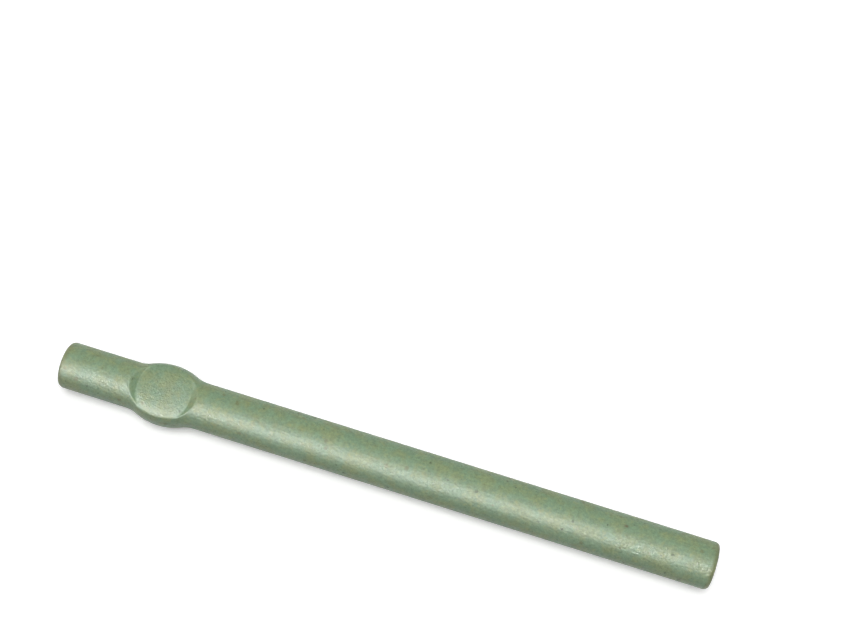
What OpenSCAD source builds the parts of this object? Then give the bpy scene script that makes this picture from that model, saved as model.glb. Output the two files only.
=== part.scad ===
// A reusable drinking straw that opens lengthwise into two half shells for washing.
// The tube lies along X with its mouth end at -X, and rests on Z = 0. The finger pads face up and down.
// The halves meet in the middle plane of the tube, where a tongue on the lower one fills a groove in
// the upper one. The shapes are worked out about the tube's axis and raised onto Z = 0 at the end.

/* [Tube] */
// Length of the straw from rim to rim
tube_l = 198; // [150:1:230]
// Outside diameter of the plain tube
tube_d = 14; // [13:0.1:16]
// Thickness of the wall, the same all round and under the pads
wall = 2; // [1.8:0.1:2.2]
// Rounding of the outer edge of each end
rim_round = 0.8; // [0.4:0.1:1]
// Bevel of the inner edge of each end
rim_bevel = 0.4; // [0.2:0.1:0.6]

/* [Finger pads] */
// From the mouth end to the middle of the pads
pad_x = 31.7; // [24:0.1:100]
// Diameter of the round pad
pad_d = 16.1; // [14:0.1:17]
// How far the rim of the pad lies below the crown of the tube
pad_sink = 2.4; // [2:0.1:2.9]
// Height of the middle of the pad over its rim
pad_dome = 1.5; // [0.6:0.1:2]
// Width of the level strip around the pad
pad_land = 0.15; // [0.1:0.05:0.4]
// Slope of the step that climbs from the pad to the tube, in degrees
step_angle = 48; // [40:1:70]
// Rounding at the foot of the step
foot_round = 0.3; // [0.2:0.1:0.8]
// Rounding at the brow of the step
brow_round = 0.5; // [0.3:0.1:1.5]
// Greatest width of the tube, beside the pads
bulge_d = 18.4; // [17:0.1:20]
// Length over which the tube widens and narrows again
bulge_l = 21.6; // [20:0.1:26]
// Share of the bulge's outline that is its round crown, between the two blends into the tube
crown_share = 0.64; // [0.4:0.01:0.8]

/* [Seam] */
// From the outside of the tube to the tongue
tongue_inset = 0.7; // [0.6:0.05:0.8]
// Thickness of the tongue
tongue_t = 0.7; // [0.5:0.05:0.8]
// Height of the tongue over the seam
tongue_h = 1; // [0.6:0.1:1.2]
// Distance from each end of the tube to the end of the tongue
tongue_stop = 2; // [1.5:0.1:6]
// Play between the tongue and each side of its groove
side_play = 0.05; // [0.03:0.01:0.1]
// Play over the tip of the tongue and past its two ends
tip_play = 0.15; // [0.1:0.01:0.3]
// Depth of the fine shadow line along the seam
line_depth = 0.12; // [0.05:0.01:0.2]
// Height of the shadow line, half of it in each shell
line_h = 0.16; // [0.08:0.02:0.3]

/* [Hidden] */
$fn = 128;

// Radii and places that follow from the sizes above
tube_r = tube_d / 2;
bore_r = tube_r - wall;
bulge_r = bulge_d / 2;
pad_r = pad_d / 2;
rim_z = tube_r - pad_sink;
mouth_x = -tube_l / 2;
far_x = tube_l / 2;
pad_mid = mouth_x + pad_x;

// The bulge's outline is a crown arc between two blend arcs that bend the other way
half_bulge = bulge_l / 2;
rise = bulge_r - tube_r;
arc_sum = (half_bulge * half_bulge + rise * rise) / (2 * rise);
crown_r = crown_share * arc_sum;
blend_r = arc_sum - crown_r;
swing = asin(half_bulge / arc_sum);

// The pad is a cap of a large ball
dome_r = (pad_r * pad_r + pad_dome * pad_dome) / (2 * pad_dome);
dome_z = rim_z + pad_dome - dome_r;

// Straight pieces that stand for each arc, and for the crown arc twice as many
arc_steps = 6;
// The brow stops a little short of level, just under the crown of the tube, and runs out past it
brow_slope = 10;
brow_drop = 0.05;
brow_run = 2;
// How far a cutter runs past what it cuts
past = 1;
sage = [0.52, 0.6, 0.47];

function on_circle(centre, r, a) = centre + r * [cos(a), sin(a)];

// Points on an arc from angle a to angle b, without its first one
function arc(centre, r, a, b, steps = arc_steps) =
    [for (i = [1 : steps]) on_circle(centre, r, a + (b - a) * i / steps)];

function backwards(points) = [for (i = [len(points) - 1 : -1 : 0]) points[i]];

// Outline of one side from the plain tube over the bulge and back, moved inwards by inset
function bulge_line(inset) = concat(
    [[pad_mid - half_bulge, tube_r - inset]],
    arc([pad_mid - half_bulge, tube_r + blend_r], blend_r + inset, -90, swing - 90),
    arc([pad_mid, bulge_r - crown_r], crown_r - inset, 90 + swing, 90 - swing, 2 * arc_steps),
    arc([pad_mid + half_bulge, tube_r + blend_r], blend_r + inset, -90 - swing, -90)
);

// Half outline of the outside, with rounded ends
function outside() = concat(
    [[mouth_x, 0], [mouth_x, tube_r - rim_round]],
    arc([mouth_x + rim_round, tube_r - rim_round], rim_round, 180, 90),
    bulge_line(0),
    [[far_x - rim_round, tube_r]],
    arc([far_x - rim_round, tube_r - rim_round], rim_round, 90, 0),
    [[far_x, 0]]
);

// Half outline of the hollow, which flares at each end and runs out past it
function inside() = concat(
    [[mouth_x - past, 0], [mouth_x - past, bore_r + rim_bevel + past], [mouth_x + rim_bevel, bore_r]],
    bulge_line(wall),
    [[far_x - rim_bevel, bore_r], [far_x + past, bore_r + rim_bevel + past], [far_x + past, 0]]
);

// The two sides of a strip that follows the seam, between two insets and short of the ends by stop
module seam_strip(from, to, stop) {
    for (side = [0, 1])
        mirror([0, side, 0])
            polygon(concat(
                [[mouth_x + stop, tube_r - from]], bulge_line(from), [[far_x - stop, tube_r - from]],
                [[far_x - stop, tube_r - to]], backwards(bulge_line(to)), [[mouth_x + stop, tube_r - to]]
            ));
}

// Solid of revolution about the axis of the tube, from a half outline drawn along X
module turned(points) {
    rotate([0, 90, 0]) rotate_extrude() polygon([for (p = points) [p[1], p[0]]]);
}

// Where the step starts at its foot and turns over at its brow, as radius and height
foot = [pad_r + pad_land, rim_z + foot_round];
step_foot = on_circle(foot, foot_round, step_angle - 90);
brow_z = tube_r - brow_drop - brow_round * cos(brow_slope);
step_top_z = brow_z + brow_round * cos(step_angle);
step_top = [step_foot[0] + (step_top_z - step_foot[1]) / tan(step_angle), step_top_z];
brow = [step_top[0] + brow_round * sin(step_angle), brow_z];

// Floor and step round a pad, as radius and height from the pad's own axis
function pad_outline() = concat(
    [[0, rim_z], [foot[0], rim_z]],
    arc(foot, foot_round, -90, step_angle - 90),
    [step_top],
    arc(brow, brow_round, 90 + step_angle, 90 + brow_slope),
    [on_circle(brow, brow_round, 90 + brow_slope) + brow_run * [cos(brow_slope), sin(brow_slope)]],
    [[brow[0] + brow_run, bulge_r + past], [0, bulge_r + past]]
);

// The same, moved down and outwards by the wall, for the inner side
function pad_underside() = concat(
    [[0, rim_z - wall], [foot[0], rim_z - wall]],
    arc(foot, foot_round + wall, -90, step_angle - 90),
    [on_circle(foot, foot_round + wall, step_angle - 90)
        + (bulge_r + past) * [cos(step_angle), sin(step_angle)]],
    [[0, bulge_r + past]]
);

// What is cut away over a pad: the space in an outline, less the domed floor
module over_pad(points, inset) {
    translate([pad_mid, 0, 0])
        difference() {
            rotate_extrude() polygon(points);
            translate([0, 0, dome_z]) sphere(dome_r - inset);
        }
}

// The upper half of the straw with plain edges
module half_tube() {
    difference() {
        turned(outside());
        over_pad(pad_outline(), 0);
        difference() {
            turned(inside());
            over_pad(pad_underside(), wall);
        }
        translate([mouth_x - past, -bulge_r - past, -bulge_r - past])
            cube([tube_l + 2 * past, bulge_d + 2 * past, bulge_r + past]);
    }
}

// Half of the shadow line along the seam, in the upper shell
module shadow_line() {
    translate([0, 0, -past]) linear_extrude(past + line_h / 2) seam_strip(-past, line_depth, -past);
}

module upper_shell() {
    color(sage)
        translate([0, 0, tube_r])
            difference() {
                half_tube();
                shadow_line();
                translate([0, 0, -past])
                    linear_extrude(past + tongue_h + tip_play)
                        seam_strip(tongue_inset - side_play, tongue_inset + tongue_t + side_play,
                            tongue_stop - tip_play);
            }
}

module lower_shell() {
    color(sage)
        translate([0, 0, tube_r]) {
            mirror([0, 0, 1])
                difference() {
                    half_tube();
                    shadow_line();
                }
            translate([0, 0, -past])
                linear_extrude(past + tongue_h)
                    seam_strip(tongue_inset, tongue_inset + tongue_t, tongue_stop);
        }
}

lower_shell();
upper_shell();
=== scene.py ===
"""Dresses a reusable drinking straw that opens lengthwise into two half shells.

Each half shell is one moulded piece of speckled sage plastic. Its mesh starts as a flat grid: one way runs
along the straw, the other goes once round the section of the shell. Every vertex is then moved to its place.
"""

import logging
import math
from dataclasses import dataclass
from enum import Enum

import bmesh
import bpy
from mathutils import Matrix, Vector


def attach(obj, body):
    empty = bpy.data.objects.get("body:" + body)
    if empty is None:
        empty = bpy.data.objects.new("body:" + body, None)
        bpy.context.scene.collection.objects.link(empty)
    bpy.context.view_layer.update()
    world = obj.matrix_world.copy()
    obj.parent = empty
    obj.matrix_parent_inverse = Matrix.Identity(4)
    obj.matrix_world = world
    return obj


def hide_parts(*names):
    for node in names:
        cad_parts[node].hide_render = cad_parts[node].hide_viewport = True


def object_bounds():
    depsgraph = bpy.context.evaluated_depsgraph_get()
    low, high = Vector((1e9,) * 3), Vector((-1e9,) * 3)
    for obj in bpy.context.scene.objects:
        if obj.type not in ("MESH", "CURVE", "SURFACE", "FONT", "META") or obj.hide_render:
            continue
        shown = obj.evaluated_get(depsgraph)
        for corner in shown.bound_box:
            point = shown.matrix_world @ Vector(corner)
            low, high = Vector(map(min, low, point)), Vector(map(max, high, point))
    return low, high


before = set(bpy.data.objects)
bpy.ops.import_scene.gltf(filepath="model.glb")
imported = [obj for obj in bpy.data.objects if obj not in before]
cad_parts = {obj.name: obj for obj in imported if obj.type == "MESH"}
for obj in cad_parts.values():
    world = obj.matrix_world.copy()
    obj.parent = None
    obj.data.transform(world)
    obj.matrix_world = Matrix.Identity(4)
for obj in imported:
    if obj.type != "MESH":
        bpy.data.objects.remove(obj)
CAD_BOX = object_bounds()

MM = 0.001
log = logging.getLogger("straw")

Point = tuple[float, float]
Place = tuple[float, float, float]
Colour = tuple[float, float, float]
Socket = bpy.types.NodeSocket

WHITE: Colour = (1.0, 1.0, 1.0)


class Half(Enum):
    """The two halves of the straw: node, body, material slot, and which way is away from the seam."""

    LOWER = ("lower_shell", "lower_half", "lower_plastic", -1)
    UPPER = ("upper_shell", "upper_half", "upper_plastic", 1)

    def __init__(self, node: str, body: str, slot: str, outwards: int) -> None:
        """Keeps the names and the sign of a half under plain words.

        Args:
            node: the solid's node that the half stands for.
            body: the body that it rides on.
            slot: name of a material slot; it is not used.
            outwards: 1 if away from the seam is up, -1 if it is down.
        """
        self.node = node
        self.body = body
        self.slot = slot
        self.outwards = outwards


def soft_min(a: float, b: float, width: float) -> float:
    """Returns the lower of two heights, with a rounded edge of the given width where they cross."""
    blend = max(width - abs(a - b), 0.0) / width
    return min(a, b) - blend * blend * width / 4


def soft_max(a: float, b: float, width: float) -> float:
    """Returns the higher of two heights, with a rounded valley of the given width where they cross."""
    return -soft_min(-a, -b, width)


@dataclass(frozen=True)
class StrawForm:
    """Outline of the straw about its own axis, in metres.

    The length, the tube's radius and the bulge's width come from the frame; the rest are the part's sizes.
    """

    half_length: float
    tube_r: float
    bulge_r: float
    wall: float = 2.0 * MM
    rim_round: float = 1.0 * MM
    rim_run: float = 1.4 * MM
    rim_bevel: float = 0.4 * MM
    pad_x: float = 31.7 * MM
    pad_r: float = 8.05 * MM
    pad_square: float = 2.6
    pad_sink: float = 2.4 * MM
    pad_dome: float = 1.5 * MM
    end_lift: float = 0.6 * MM
    dome_power: float = 3.0
    step_slope: float = math.tan(math.radians(38))
    half_bulge: float = 10.8 * MM
    crown_share: float = 0.64
    brow_blend: float = 0.5 * MM
    foot_blend: float = 0.3 * MM

    @property
    def pad_mid(self) -> float:
        """Place of the pads' middle along the straw."""
        return self.pad_x - self.half_length

    @property
    def arc_sum(self) -> float:
        """Radius of the bulge's crown arc plus that of its blend arcs."""
        rise = self.bulge_r - self.tube_r
        return (self.half_bulge**2 + rise**2) / (2 * rise)

    def outline(self, x: float, inset: float = 0.0) -> float:
        """Half width of the straw at x.

        Args:
            x: place along the straw.
            inset: how far inside the outer surface the line runs.

        Returns:
            Distance of the line from the straw's axis.
        """
        crown_r = self.crown_share * self.arc_sum
        blend_r = self.arc_sum - crown_r
        sine = self.half_bulge / self.arc_sum
        away = abs(x - self.pad_mid)
        if away >= self.half_bulge:
            return self.tube_r - inset
        if away <= (crown_r - inset) * sine:
            return self.bulge_r - crown_r + math.sqrt((crown_r - inset) ** 2 - away**2)
        return self.tube_r + blend_r - math.sqrt((blend_r + inset) ** 2 - (self.half_bulge - away) ** 2)

    def outer_r(self, x: float) -> float:
        """Radius of the outer surface at x, with the rounding of the ends.

        Args:
            x: place along the straw.

        Returns:
            Distance of the surface from the straw's axis, before the pads are sunk.
        """
        from_end = self.half_length - abs(x)
        if from_end >= self.rim_run:
            return self.outline(x)
        short = 1 - from_end / self.rim_run
        return self.tube_r - self.rim_round * (1 - math.sqrt(max(1 - short**2, 0.0)))

    def inner_r(self, x: float) -> float:
        """Radius of the bore at x, with the bevel of the ends."""
        from_end = self.half_length - abs(x)
        return self.outline(x, self.wall) + max(self.rim_bevel - from_end, 0.0)

    def pad_height(self, x: float, y: float, under: float = 0.0) -> float:
        """Height over the axis of the pad and of the step round it.

        Args:
            x: place along the straw.
            y: place across it.
            under: how far under the outer surface, for the inner side.

        Returns:
            Height of the dome inside the pad's rim, and of the climbing step outside it.
        """
        along, across = abs(x - self.pad_mid), abs(y)
        away = (along**self.pad_square + across**self.pad_square) ** (1 / self.pad_square)
        lift = self.end_lift * along**2 / max(along**2 + across**2, MM**2)
        rim_z = self.tube_r - self.pad_sink + lift
        dome = rim_z + (self.pad_dome - lift) * (1 - (away / self.pad_r) ** self.dome_power) - under
        slant = math.sqrt(1 + self.step_slope**2)
        step = rim_z + self.step_slope * (away - self.pad_r) - under * slant
        return soft_max(dome, step, self.foot_blend)


@dataclass(frozen=True)
class SeamForm:
    """Sizes of the tongue, its groove and the edges along the seam, in metres."""

    inset: float = 0.7 * MM
    thick: float = 0.7 * MM
    high: float = 1.0 * MM
    stop: float = 2.0 * MM
    side_play: float = 0.05 * MM
    tip_play: float = 0.15 * MM
    tip_edge: float = 0.15 * MM
    outer_edge: float = 0.12 * MM
    least_flat: float = 0.02 * MM


@dataclass(frozen=True)
class Fineness:
    """How finely a half shell is meshed: spacings and margins in metres, and steps round each arc."""

    tube_step: float = 3.0 * MM
    tube_margin: float = 3.0 * MM
    pad_step: float = 0.3 * MM
    bulge_margin: float = 1.5 * MM
    rim_step: float = 0.14 * MM
    inside_rim: float = 0.8 * MM
    outside_rim: float = 2.6 * MM
    stop_gap: float = 0.01 * MM
    weld: float = 0.002 * MM
    sliver: float = 0.001 * MM
    arc_steps: int = 80
    end_steps: int = 8
    edge_steps: int = 3
    sharp_angle: float = math.radians(38)


class HalfShell:
    """One half of the straw, from its stations and sections to its finished object."""

    def __init__(self, half: Half, form: StrawForm, seam: SeamForm, fine: Fineness) -> None:
        """Keeps what the shell is made from.

        Args:
            half: which half it is.
            form: outline of the straw.
            seam: sizes along the seam.
            fine: how finely it is meshed.
        """
        self.half = half
        self.form = form
        self.seam = seam
        self.fine = fine

    def rail_stop(self) -> float:
        """Distance from the ends at which the tongue or the groove stops."""
        return self.seam.stop - (self.seam.tip_play if self.half is Half.UPPER else 0.0)

    def end_distances(self) -> list[float]:
        """Distances from either end at which the rim, its bevel and the end of the rail are followed.

        Returns:
            Distances in metres, in no order.
        """
        form, fine = self.form, self.fine
        turns = [math.pi / 2 * step / fine.end_steps for step in range(fine.end_steps + 1)]
        rims = [form.rim_run * (1 - math.cos(turn)) for turn in turns]
        return [*rims, form.rim_bevel, self.rail_stop() - fine.stop_gap, self.rail_stop() + fine.stop_gap]

    def bulge_stations(self, reach: float) -> list[float]:
        """Places over the bulge, closer together at the step on both sides of the pad.

        Args:
            reach: how far they go to either side of the pads' middle.

        Returns:
            Places along the straw, in no order.
        """
        form, fine = self.form, self.fine
        count = round(2 * reach / fine.pad_step)
        places = [form.pad_mid - reach + 2 * reach * i / count for i in range(count + 1)]
        foot, brow = form.pad_r - fine.inside_rim, form.pad_r + fine.outside_rim
        steps = round((brow - foot) / fine.rim_step)
        for side in (-1, 1):
            places = [x for x in places if not foot < side * (x - form.pad_mid) < brow]
            places += [form.pad_mid + side * (foot + (brow - foot) * i / steps) for i in range(steps + 1)]
        return places

    def tube_stations(self, reach: float) -> list[float]:
        """Evenly spaced places along the plain tube, before and after the bulge.

        Args:
            reach: how far to either side of the pads' middle they keep away.

        Returns:
            Places along the straw, in no order.
        """
        mid = self.form.pad_mid
        last = self.form.half_length - self.fine.tube_margin
        places = [last]
        for start, stop in ((-last, mid - reach), (mid + reach, last)):
            steps = max(round((stop - start) / self.fine.tube_step), 1)
            places += [start + (stop - start) * i / steps for i in range(steps)]
        return places

    def stations(self) -> list[float]:
        """Places along the straw at which its section is worked out.

        Returns:
            Places in metres, from the mouth end to the far end.
        """
        end = self.form.half_length
        reach = self.form.half_bulge + self.fine.bulge_margin
        places = {*self.bulge_stations(reach), *self.tube_stations(reach)}
        for from_end in self.end_distances():
            places.update((end - from_end, from_end - end))
        return sorted(places)

    def rail(self, x: float) -> list[Point]:
        """Tongue or groove at x, from its outer foot to its inner foot, as half width and height.

        Args:
            x: place along the straw.

        Returns:
            Points of the profile; the tongue reaches below the seam of its own half, the groove above.
        """
        seam = self.seam
        groove = self.half is Half.UPPER
        play = seam.side_play if groove else 0.0
        outermost = self.form.outer_r(x) - seam.outer_edge - seam.least_flat
        outer = min(self.form.outline(x, seam.inset - play), outermost)
        inner = self.form.outline(x, seam.inset + seam.thick + play)
        inside = self.form.half_length - abs(x) > self.rail_stop()
        high = (seam.high + seam.tip_play if groove else -seam.high) if inside else 0.0
        edge = seam.tip_edge if inside else 0.0
        turn = edge if groove else -edge
        return [(outer, 0.0), (outer, high - turn), (outer - edge, high),
                (inner + edge, high), (inner, high - turn), (inner, 0.0)]

    def arc(self, x: float, inner: bool) -> list[Point]:
        """Outer or inner surface at x, from the +Y side over the top to the -Y side.

        Args:
            x: place along the straw.
            inner: whether it is the inner surface.

        Returns:
            Points of the arc, as places across and heights away from the seam.
        """
        radius = self.form.inner_r(x) if inner else self.form.outer_r(x)
        under = self.form.wall if inner else 0.0
        start = 0.0 if inner else math.asin(self.seam.outer_edge / radius)
        points = []
        for step in range(self.fine.arc_steps + 1):
            angle = start + (math.pi - 2 * start) * step / self.fine.arc_steps
            y, z = radius * math.cos(angle), radius * math.sin(angle)
            if abs(x - self.form.pad_mid) < self.form.half_bulge and z > self.seam.outer_edge:
                z = soft_min(z, self.form.pad_height(x, y, under), self.form.brow_blend)
                z = min(z, self.form.tube_r - under)
            points.append((y, z))
        return points

    def seam_edge(self, x: float) -> list[Point]:
        """Rounding between the outer surface and the seam at x.

        Args:
            x: place along the straw.

        Returns:
            Points from the surface inwards, as half widths and heights away from the seam.
        """
        edge = self.seam.outer_edge
        radius = self.form.outer_r(x)
        side = math.sqrt(radius**2 - edge**2)
        angles = [math.pi / 2 * i / self.fine.edge_steps for i in range(1, self.fine.edge_steps + 1)]
        return [(side - edge * (1 - math.cos(a)), edge * (1 - math.sin(a))) for a in angles]

    def section(self, x: float) -> list[Point]:
        """Closed section of the shell at x.

        Args:
            x: place along the straw.

        Returns:
            Points once round the shell, as places across and heights away from the seam.
        """
        flank = self.seam_edge(x) + self.rail(x)
        left = [(-y, z) for y, z in flank]
        return self.arc(x, False) + left + self.arc(x, True)[::-1] + flank[::-1]

    def mesh(self) -> bpy.types.Mesh:
        """Builds the shell from a grid, one row for each station and one column for each section point.

        Returns:
            Closed mesh at the shell's place in the frame.
        """
        stations = self.stations()
        sections = [self.section(x) for x in stations]
        rows, columns = len(stations) - 1, len(sections[0])
        bm = bmesh.new()
        bmesh.ops.create_grid(bm, x_segments=rows, y_segments=columns, size=1.0)
        # The flat grid runs from -1 to 1 both ways, and its last column lands on its first
        for vert in bm.verts:
            row = round((vert.co.x + 1) / 2 * rows)
            column = round((vert.co.y + 1) / 2 * columns) % columns
            y, z = sections[row][column]
            vert.co = (stations[row], y, self.form.tube_r + self.half.outwards * z)
        bmesh.ops.remove_doubles(bm, verts=bm.verts, dist=self.fine.weld)
        bmesh.ops.dissolve_degenerate(bm, edges=bm.edges, dist=self.fine.sliver)
        rims = [edge for edge in bm.edges if edge.is_boundary]
        bmesh.ops.holes_fill(bm, edges=rims, sides=0)
        bmesh.ops.recalc_face_normals(bm, faces=bm.faces)
        mesh = bpy.data.meshes.new(self.half.node + "_moulding")
        bm.to_mesh(mesh)
        bm.free()
        mesh.shade_smooth()
        mesh.set_sharp_from_angle(angle=self.fine.sharp_angle)
        return mesh

    def dress(self, material: bpy.types.Material) -> bpy.types.Object:
        """Makes the finished object, which stands for the half's node and rides on its body.

        Args:
            material: what the shell is made of.

        Returns:
            The new object.
        """
        mesh = self.mesh()
        mesh.materials.append(material)
        piece = bpy.data.objects.new(self.half.node + "_moulding", mesh)
        bpy.context.scene.collection.objects.link(piece)
        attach(piece, self.half.body)
        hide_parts(self.half.node)
        log.info("%s: %d faces", piece.name, len(mesh.polygons))
        return piece


def linear_channel(value: int) -> float:
    """Returns one channel of a display colour, 0 to 255, as a linear share by the standard curve."""
    share = value / 255
    return share / 12.92 if share <= 0.04045 else ((share + 0.055) / 1.055) ** 2.4


def linear(red: int, green: int, blue: int) -> Colour:
    """Returns a display colour of 0 to 255 a channel as linear values."""
    return linear_channel(red), linear_channel(green), linear_channel(blue)


@dataclass(frozen=True)
class Noise:
    """One cloudy pattern: its scale to a millimetre, and the detail and roughness of its smaller forms."""

    scale: float
    detail: float
    roughness: float


class Nodes:
    """Short way to add and join the shader nodes of one material."""

    def __init__(self, tree: bpy.types.NodeTree) -> None:
        """Starts from an empty tree."""
        self.tree = tree
        tree.nodes.clear()

    def add(self, kind: str, **sockets: object) -> bpy.types.Node:
        """Adds a node.

        Args:
            kind: the node's type name after ShaderNode.
            sockets: values or output sockets for its inputs, by name with _ for a space.

        Returns:
            The new node.
        """
        node = self.tree.nodes.new("ShaderNode" + kind)
        for name, value in sockets.items():
            self.set(node, name.replace("_", " "), value)
        return node

    def set(self, node: bpy.types.Node, name: str | int, value: object) -> None:
        """Gives an input a value, or joins an output socket to it.

        Args:
            node: the node with the input.
            name: the input's name or number.
            value: the value or the output socket.
        """
        if isinstance(value, Socket):
            self.tree.links.new(value, node.inputs[name])
        elif isinstance(value, tuple) and len(value) == 3 and node.inputs[name].type == "RGBA":
            node.inputs[name].default_value = (*value, 1.0)
        else:
            node.inputs[name].default_value = value

    def maths(self, operation: str, a: object, b: object = 0.0, c: object = 0.0) -> Socket:
        """Adds a Math node.

        Args:
            operation: what it works out.
            a: first value or socket.
            b: second value or socket, where the operation has one.
            c: third value or socket, where the operation has one.

        Returns:
            The node's output.
        """
        node = self.add("Math")
        node.operation = operation
        for number, value in enumerate((a, b, c)):
            self.set(node, number, value)
        return node.outputs[0]

    def vector_maths(self, operation: str, a: object, b: object = (0.0, 0.0, 0.0)) -> bpy.types.Node:
        """Adds a Vector Math node.

        Args:
            operation: what it works out.
            a: first vector or socket.
            b: second vector or socket, where the operation has one.

        Returns:
            The new node.
        """
        node = self.add("VectorMath")
        node.operation = operation
        self.set(node, 0, a)
        self.set(node, 1, b)
        return node

    def distance(self, place: Socket) -> Socket:
        """Returns how far a place lies from the origin."""
        return self.vector_maths("LENGTH", place).outputs["Value"]

    def noise(self, place: Socket, kind: Noise) -> bpy.types.Node:
        """Adds a cloudy pattern of one kind."""
        return self.add("TexNoise", Vector=place, Scale=kind.scale, Detail=kind.detail,
                        Roughness=kind.roughness)

    def mix(self, share: object, a: object, b: object) -> Socket:
        """Mixes two colours by a share.

        Args:
            share: 0 for all of the first colour, 1 for all of the second.
            a: first colour or socket.
            b: second colour or socket.

        Returns:
            Output socket of the mixed colour.
        """
        node = self.add("Mix")
        node.data_type = "RGBA"
        for number, value in ((0, share), (6, a), (7, b)):
            self.set(node, number, value)
        return node.outputs[2]

    def background_rays(self) -> Socket:
        """Finds the rays that show the background: to the camera, in a gloss or through glass.

        Returns:
            Output socket that is 1 for those rays and 0 for the others.
        """
        rays = self.add("LightPath").outputs
        mirrored = self.maths("MAXIMUM", rays["Is Glossy Ray"], rays["Is Transmission Ray"])
        return self.maths("MAXIMUM", rays["Is Camera Ray"], mirrored)

    def between(self, value: Socket, low: float, high: float) -> Socket:
        """Adds a smooth ramp from 0 to 1.

        Args:
            value: socket that climbs the ramp.
            low: below this it gives 0.
            high: above this it gives 1.

        Returns:
            Output socket of the ramp.
        """
        node = self.add("MapRange")
        node.interpolation_type = "SMOOTHSTEP"
        for number, setting in enumerate((value, low, high)):
            self.set(node, number, setting)
        return node.outputs[0]


@dataclass(frozen=True)
class Specks:
    """One kind of filler grain in the plastic; lengths in millimetres."""

    colour: Colour
    spacing: float
    radius: float
    share: float
    strength: float


@dataclass(frozen=True)
class SpeckledPlastic:
    """Satin plastic, mottled sage green, with grains of plant filler and painted shade on its rounded ends;
    pairs are the two ends of a ramp.
    """

    name: str = "speckled_sage_plastic"
    cool: Colour = linear(121, 149, 116)
    warm: Colour = linear(131, 148, 105)
    ochre: Colour = linear(138, 140, 86)
    cloud: Noise = Noise(0.22, 4.0, 0.6)
    cloud_ramp: Point = (0.38, 0.66)
    patch: Noise = Noise(0.55, 3.0, 0.65)
    patch_ramp: Point = (0.54, 0.72)
    patch_strength: float = 0.4
    grain: Noise = Noise(1.1, 4.0, 0.8)
    grain_depth: float = 1.3
    darkest: float = 0.35
    specks: tuple[Specks, ...] = (
        Specks(linear(108, 108, 64), 3.6, 0.62, 0.55, 0.6),
        Specks(linear(66, 82, 54), 3.2, 0.4, 0.45, 0.8),
        Specks(linear(98, 78, 50), 7.0, 0.55, 0.6, 0.8),
    )
    speck_shift: Place = (13.0, 22.1, -7.8)
    speck_least: float = 0.5
    speck_spread: float = 0.7
    speck_ramp: Point = (-0.06, 0.07)
    wobble: Noise = Noise(1.6, 2.0, 0.5)
    # painted shade: darker olive on the rounded ends, where their fillets turn away from the light
    end_shade_tint: Colour = linear(116, 116, 70)
    end_shade_strength: float = 0.55
    end_shade_ramp: Point = (2.0, 0.7)
    fine: Noise = Noise(1.5, 3.0, 0.7)
    bump_strength: float = 0.8
    bump_depth: float = 0.22 * MM
    shine_depth: float = 1.1
    shine_middle: float = 0.55
    roughness: float = 0.42
    pad_roughness: float = 0.32
    pad_ramp: Point = (-0.5, 1.0)
    refraction: float = 1.45

    def grains(self, nodes: Nodes, place: Socket, kind: Specks, number: int) -> Socket:
        """Makes a mask that is over 0 inside the grains of one kind.

        Args:
            nodes: the material's nodes.
            place: position in millimetres, already roughened a little.
            kind: size and spacing of the grains.
            number: which kind it is, which shifts it away from the others.

        Returns:
            Output socket of the mask.
        """
        shift = tuple(number * step for step in self.speck_shift)
        shifted = nodes.vector_maths("ADD", place, shift).outputs[0]
        cells = nodes.add("TexVoronoi", Vector=shifted, Scale=1 / kind.spacing)
        draws = nodes.add("SeparateColor", Color=cells.outputs["Color"]).outputs
        chosen = nodes.maths("LESS_THAN", draws[0], kind.share)
        spread = self.speck_spread * kind.radius / kind.spacing
        least = self.speck_least * kind.radius / kind.spacing
        size = nodes.maths("MULTIPLY_ADD", draws[1], spread, least)
        over = nodes.maths("SUBTRACT", size, cells.outputs["Distance"])
        inside = nodes.between(over, *self.speck_ramp)
        return nodes.maths("MULTIPLY", nodes.maths("MULTIPLY", inside, chosen), kind.strength)

    def pad_share(self, nodes: Nodes, place: Socket, form: StrawForm) -> Socket:
        """Makes a mask of the finger pads.

        Args:
            nodes: the material's nodes.
            place: position in millimetres.
            form: outline of the straw.

        Returns:
            Output socket that is 1 on the pads and fades to 0 round their rims.
        """
        from_pads = nodes.vector_maths("SUBTRACT", place, (form.pad_mid / MM, 0.0, 0.0)).outputs[0]
        plan = nodes.vector_maths("MULTIPLY", from_pads, (1.0, 1.0, 0.0)).outputs[0]
        rim = form.pad_r / MM
        start, stop = (rim + side for side in self.pad_ramp)
        return nodes.maths("SUBTRACT", 1.0, nodes.between(nodes.distance(plan), start, stop))

    def end_shade_share(self, nodes: Nodes, place: Socket, form: StrawForm) -> Socket:
        """Makes a mask for the painted shade on the straw's two rounded ends.

        Args:
            nodes: the material's nodes.
            place: position in millimetres.
            form: outline of the straw.

        Returns:
            Output socket that is 1 at the very ends and fades to 0 a little way in.
        """
        along = nodes.add("SeparateXYZ", Vector=place).outputs["X"]
        end = form.half_length / MM
        start, stop = (end - from_end for from_end in self.end_shade_ramp)
        return nodes.between(nodes.maths("ABSOLUTE", along), start, stop)

    def base_colour(self, nodes: Nodes, place: Socket) -> Socket:
        """Makes the mottled green under the grains.

        Args:
            nodes: the material's nodes.
            place: position in millimetres.

        Returns:
            Output socket of the colour.
        """
        clouds = nodes.between(nodes.noise(place, self.cloud).outputs[0], *self.cloud_ramp)
        patches = nodes.between(nodes.noise(place, self.patch).outputs[0], *self.patch_ramp)
        colour = nodes.mix(clouds, self.cool, self.warm)
        colour = nodes.mix(nodes.maths("MULTIPLY", patches, self.patch_strength), colour, self.ochre)
        grain = nodes.noise(place, self.grain).outputs[0]
        tinted = nodes.vector_maths("SCALE", colour)
        nodes.set(tinted, "Scale", nodes.maths("MULTIPLY_ADD", grain, self.grain_depth, self.darkest))
        return tinted.outputs[0]

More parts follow.
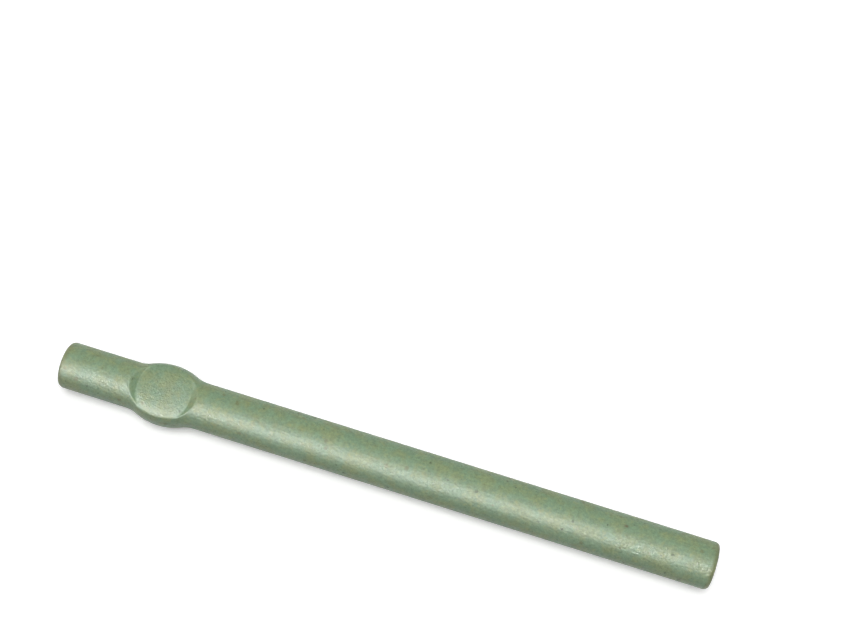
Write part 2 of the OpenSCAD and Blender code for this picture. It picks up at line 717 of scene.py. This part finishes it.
    def colour(self, nodes: Nodes, place: Socket, form: StrawForm) -> Socket:
        """Adds the grains of filler, and a painted shade of darker olive on the rounded ends, to the mottled
        green.

        Args:
            nodes: the material's nodes.
            place: position in millimetres.
            form: outline of the straw.

        Returns:
            Output socket of the finished colour.
        """
        colour = self.base_colour(nodes, place)
        wobble = nodes.noise(place, self.wobble).outputs["Color"]
        rough_place = nodes.vector_maths("ADD", place, wobble).outputs[0]
        for number, kind in enumerate(self.specks):
            colour = nodes.mix(self.grains(nodes, rough_place, kind, number), colour, kind.colour)
        # painted shade on the rounded ends
        rim = nodes.maths("MULTIPLY", self.end_shade_share(nodes, place, form), self.end_shade_strength)
        return nodes.mix(rim, colour, self.end_shade_tint)

    def material(self, form: StrawForm) -> bpy.types.Material:
        """Builds the material; its patterns lie in the straw's own coordinates.

        Args:
            form: outline of the straw.

        Returns:
            The new material.
        """
        material = bpy.data.materials.new(self.name)
        material.use_nodes = True
        nodes = Nodes(material.node_tree)
        own_place = nodes.add("TexCoord").outputs["Object"]
        place = nodes.add("Mapping", Vector=own_place, Scale=(1 / MM, 1 / MM, 1 / MM)).outputs[0]
        colour = self.colour(nodes, place, form)
        fine = nodes.noise(place, self.fine).outputs[0]
        bump = nodes.add("Bump", Height=fine, Strength=self.bump_strength, Distance=self.bump_depth)
        shine = nodes.maths("MULTIPLY_ADD", fine, self.shine_depth, self.roughness - self.shine_middle)
        polish = self.roughness - self.pad_roughness
        polished = nodes.maths("MULTIPLY", self.pad_share(nodes, place, form), polish)
        shine = nodes.maths("SUBTRACT", shine, polished)
        shader = nodes.add("BsdfPrincipled", Base_Color=colour, Roughness=shine, Normal=bump.outputs[0],
                           IOR=self.refraction)
        nodes.add("OutputMaterial", Surface=shader.outputs[0])
        return material


@dataclass(frozen=True)
class Lamp:
    """One soft rectangular lamp that faces the straw: lengths in metres, power in watts.

    With sheen_only it shows in glossy surfaces without lighting anything else.
    """

    name: str
    place: Place
    size: Point
    power: float
    sheen_only: bool = False

    def hang(self) -> None:
        """Adds the lamp to the scene."""
        data = bpy.data.lights.new(self.name, "AREA")
        data.shape = "RECTANGLE"
        data.size, data.size_y = self.size
        data.energy = self.power
        place = Vector(self.place)
        lamp = bpy.data.objects.new(self.name, data)
        lamp.matrix_world = Matrix.Translation(place) @ (-place).to_track_quat("-Z", "Y").to_matrix().to_4x4()
        lamp.visible_diffuse = not self.sheen_only
        bpy.context.scene.collection.objects.link(lamp)


@dataclass(frozen=True)
class Studio:
    """White floor, soft lamps and an even surround; lengths in metres.

    Background rays see the floor with the share floor_seen and the veil floor_glow, and plain white farther
    from the straw, from fade_start on. Other rays meet the darker floor_bounce.
    """

    floor_size: float = 6.0
    floor_seen: float = 0.98
    floor_bounce: float = 0.35
    floor_glow: float = 0.27
    fade_start: float = 0.35
    fade_end: float = 0.9
    surround: float = 0.2
    lamps: tuple[Lamp, ...] = (
        Lamp("back_bank", (0.1, 0.45, 1.35), (1.7, 1.7), 6.7),
        Lamp("overhead_lamp", (0.0, -0.03, 1.4), (0.5, 0.5), 9.6),
        Lamp("front_softbox", (-0.5, -0.57, 0.67), (0.9, 0.34), 20.0, sheen_only=True),
        Lamp("front_lamp", (0.12, -0.43, 0.78), (0.55, 0.34), 13.0, sheen_only=True),
        Lamp("left_softbox", (-1.05, -0.38, 0.54), (0.9, 0.7), 14.0, sheen_only=True),
    )

    def floor_material(self) -> bpy.types.Material:
        """Makes the floor's white, which keeps the straw's shadow and goes over to plain white farther off.

        Returns:
            The new material.
        """
        material = bpy.data.materials.new("white_floor")
        material.use_nodes = True
        nodes = Nodes(material.node_tree)
        seen = nodes.background_rays()
        shade = nodes.maths("MULTIPLY_ADD", seen, self.floor_seen - self.floor_bounce, self.floor_bounce)
        matt = nodes.add("BsdfDiffuse", Color=shade)
        veil = nodes.add("Emission", Color=WHITE, Strength=nodes.maths("MULTIPLY", seen, self.floor_glow))
        near = nodes.add("AddShader")
        nodes.set(near, 0, matt.outputs[0])
        nodes.set(near, 1, veil.outputs[0])
        away = nodes.distance(nodes.add("TexCoord").outputs["Object"])
        far = nodes.between(away, self.fade_start, self.fade_end)
        white = nodes.add("Emission", Color=WHITE, Strength=1.0)
        whole = nodes.add("MixShader")
        nodes.set(whole, 0, nodes.maths("MULTIPLY", far, seen))
        nodes.set(whole, 1, near.outputs[0])
        nodes.set(whole, 2, white.outputs[0])
        nodes.add("OutputMaterial", Surface=whole.outputs[0])
        return material

    def floor(self) -> None:
        """Lays the white floor that the straw rests on."""
        bm = bmesh.new()
        bmesh.ops.create_grid(bm, x_segments=1, y_segments=1, size=self.floor_size / 2)
        mesh = bpy.data.meshes.new("floor")
        bm.to_mesh(mesh)
        bm.free()
        mesh.materials.append(self.floor_material())
        floor = bpy.data.objects.new("floor", mesh)
        bpy.context.scene.collection.objects.link(floor)

    def world(self) -> None:
        """Gives a grey surround that shows white to the camera and in reflections."""
        world = bpy.data.worlds.new("surround")
        bpy.context.scene.world = world
        world.use_nodes = True
        nodes = Nodes(world.node_tree)
        strength = nodes.maths("MULTIPLY_ADD", nodes.background_rays(), 1.0 - self.surround, self.surround)
        light = nodes.add("Background", Color=WHITE, Strength=strength)
        nodes.add("OutputWorld", Surface=light.outputs[0])

    def build(self) -> None:
        """Sets up the floor, the surround and the lamps."""
        self.floor()
        self.world()
        for lamp in self.lamps:
            lamp.hang()


@dataclass(frozen=True)
class Viewpoint:
    """Where the camera stands: angles in degrees, distances in metres, lens and sensor in millimetres."""

    elevation: float = 73.3
    heading: float = -16.8
    roll: float = 0.8
    distance: float = 0.4473
    aim: Place = (0.0005, 0.0453, 0.007)
    focal_length: float = 62.1364
    sensor: float = 36.0

    def build(self) -> None:
        """Makes the camera and sets it as the scene's own."""
        up_angle, heading, roll = (math.radians(a) for a in (self.elevation, self.heading, self.roll))
        forward = Vector((math.cos(up_angle) * math.sin(heading),
                          math.cos(up_angle) * math.cos(heading), -math.sin(up_angle)))
        right = Vector((math.cos(heading), -math.sin(heading), 0.0))
        up = right.cross(forward)
        right, up = (math.cos(roll) * right + math.sin(roll) * up,
                     math.cos(roll) * up - math.sin(roll) * right)
        data = bpy.data.cameras.new("camera")
        data.sensor_width = self.sensor
        data.lens = self.focal_length
        camera = bpy.data.objects.new("camera", data)
        turn = Matrix((right, up, -forward)).transposed().to_4x4()
        camera.matrix_world = Matrix.Translation(Vector(self.aim) - self.distance * forward) @ turn
        bpy.context.scene.collection.objects.link(camera)
        bpy.context.scene.camera = camera


def main() -> None:
    """Builds the studio and both half shells, sized from the CAD box."""
    logging.basicConfig(level=logging.INFO, format="%(name)s: %(message)s")
    end, side, top = CAD_BOX[1]
    form = StrawForm(half_length=end, tube_r=top / 2, bulge_r=side)
    Viewpoint().build()
    Studio().build()
    plastic = SpeckledPlastic().material(form)
    for half in Half:
        HalfShell(half, form, SeamForm(), Fineness()).dress(plastic)
    bpy.context.scene.view_settings.view_transform = "Standard"


if __name__ == "__main__":
    main()
